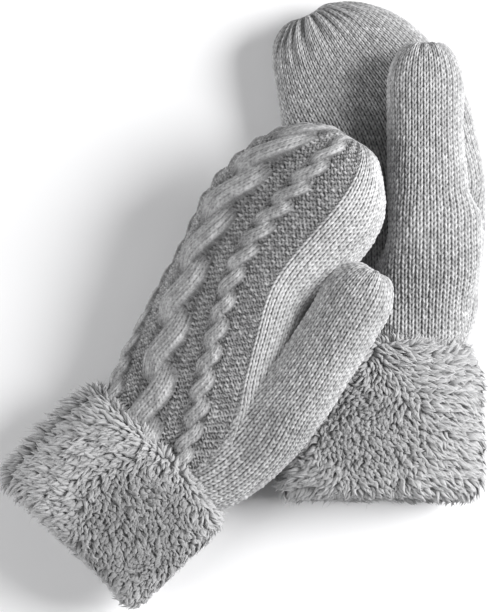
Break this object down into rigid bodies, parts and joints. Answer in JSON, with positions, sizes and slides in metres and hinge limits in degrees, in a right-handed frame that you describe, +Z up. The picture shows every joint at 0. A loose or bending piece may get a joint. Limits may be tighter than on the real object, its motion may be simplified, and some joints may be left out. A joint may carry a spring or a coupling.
{
  "type": "mittens",
  "caption": "Pair of cable-knit mittens with fleece lining and turned-back curly pile cuffs, the left lying across the right.",
  "frame": {"origin": "centre of the pair's bounding box, on the surface that the pair rests on", "axes": "+X towards the right mitten's thumb side, +Y from the right mitten's cuff to its fingertips, +Z up"},
  "size_m": [0.2678, 0.3365, 0.0871],
  "materials": {
    "knit": "chunky heather wool knit",
    "fleece": "soft brushed fleece",
    "pile": "curly sherpa pile",
    "thread": "twisted yarn",
    "label": "woven satin tape"
  },
  "bodies": {
    "right_mitten": {"right_knit_hand": "knit", "right_fleece_hand": "fleece", "right_cuff_back_panel": "pile", "right_cuff_palm_panel": "pile", "right_cuff_side_seams": "thread", "right_cuff_fold_seam": "thread", "right_tip_draw_yarn": "thread", "right_care_label": "label"},
    "left_mitten": {"left_knit_hand": "knit", "left_fleece_hand": "fleece", "left_cuff_back_panel": "pile", "left_cuff_palm_panel": "pile", "left_cuff_side_seams": "thread", "left_cuff_fold_seam": "thread", "left_tip_draw_yarn": "thread", "left_care_label": "label"},
    "right_thumb": {"right_knit_thumb": "knit", "right_fleece_thumb": "fleece", "right_thumb_draw_yarn": "thread"},
    "left_thumb": {"left_knit_thumb": "knit", "left_fleece_thumb": "fleece", "left_thumb_draw_yarn": "thread"}
  },
  "joints": [
    {"name": "right_thumb_bend", "type": "hinge", "parent": "right_mitten", "child": "right_thumb", "pos_m": [0.09979, 0.0412, 0.065], "axis": [1, 0, 0], "range_deg": [0, 50]},
    {"name": "left_lift", "type": "slide", "parent": "right_mitten", "child": "left_mitten", "axis": [0, 0, 1], "range_m": [0, 0.12]},
    {"name": "left_thumb_bend", "type": "hinge", "parent": "left_mitten", "child": "left_thumb", "pos_m": [0.02402, -0.05367, 0.07063], "axis": [0.7863, -0.4913, 0.3746], "range_deg": [0, 35]}
  ]
}
